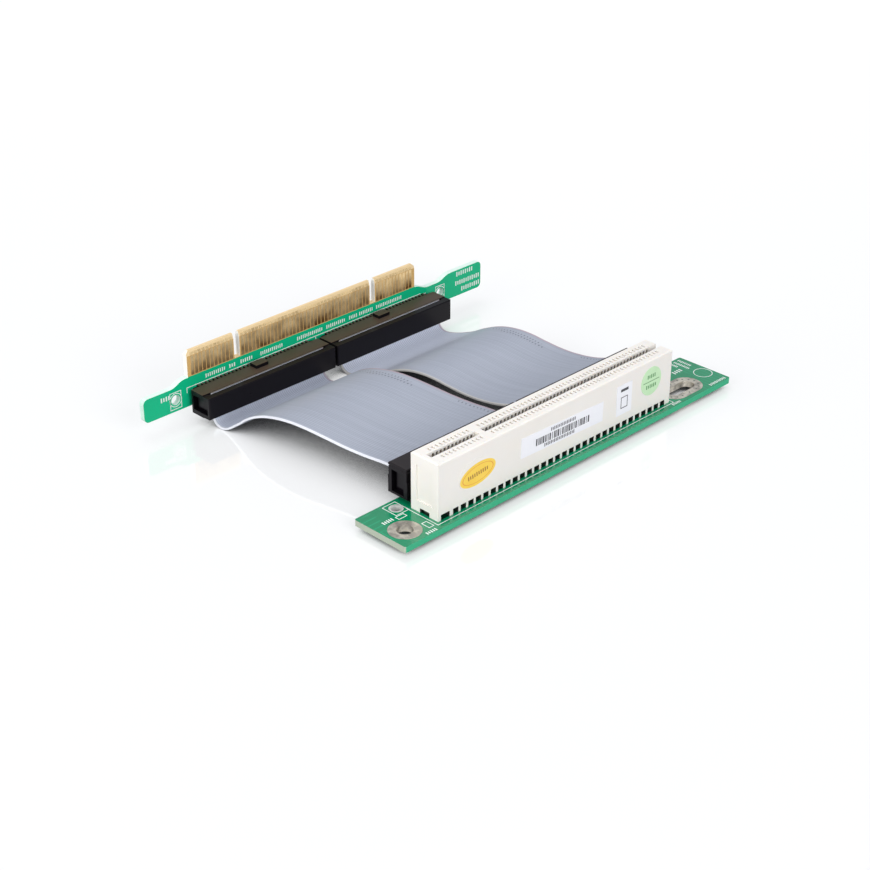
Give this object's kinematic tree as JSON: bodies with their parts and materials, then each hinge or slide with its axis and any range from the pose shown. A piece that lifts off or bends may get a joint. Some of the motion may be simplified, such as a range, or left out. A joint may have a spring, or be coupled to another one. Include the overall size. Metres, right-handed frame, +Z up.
{
  "type": "pci riser card",
  "caption": "Riser card: a flat board with an ivory card slot, joined by flat grey ribbon cables to a standing board with gold edge contacts.",
  "frame": {"origin": "on the floor below the middle of the whole object", "axes": "+X along the slot towards the board's oblong hole, +Y from the slot board to the plug board, +Z up"},
  "size_m": [0.1288, 0.0896, 0.0199],
  "materials": {
    "board_green": "glossy solder mask",
    "ivory_plastic": "fine moulded",
    "black_plastic": "moulded, slightly glossy",
    "contact_gold": "plated",
    "tin": "tinned",
    "ribbon_grey": "smooth, finely ribbed",
    "label_yellow": "coated paper",
    "label_white": "coated paper",
    "label_green": "coated paper"
  },
  "bodies": {
    "root": {"edge_fingers_front": "contact_gold", "edge_fingers_rear": "contact_gold", "header_base_plug_left": "black_plastic", "header_base_plug_right": "black_plastic", "header_base_slot_left": "black_plastic", "header_base_slot_right": "black_plastic", "header_tails_plug": "tin", "oval_label": "label_yellow", "plug_board": "board_green", "ribbon_cap_plug_left": "black_plastic", "ribbon_cap_plug_right": "black_plastic", "ribbon_cap_slot_left": "black_plastic", "ribbon_cap_slot_right": "black_plastic", "ribbon_left": "ribbon_grey", "ribbon_right": "ribbon_grey", "ribbon_socket_plug_left": "black_plastic", "ribbon_socket_plug_right": "black_plastic", "ribbon_socket_slot_left": "black_plastic", "ribbon_socket_slot_right": "black_plastic", "round_label": "label_green", "slot_board": "board_green", "slot_contacts_front": "contact_gold", "slot_contacts_rear": "contact_gold", "slot_end_left": "ivory_plastic", "slot_end_right": "ivory_plastic", "slot_housing": "ivory_plastic", "slot_key_rib": "ivory_plastic", "slot_wall_front": "ivory_plastic", "slot_wall_rear": "ivory_plastic", "small_label": "label_white", "strip_label": "label_white"}
  },
  "joints": []
}
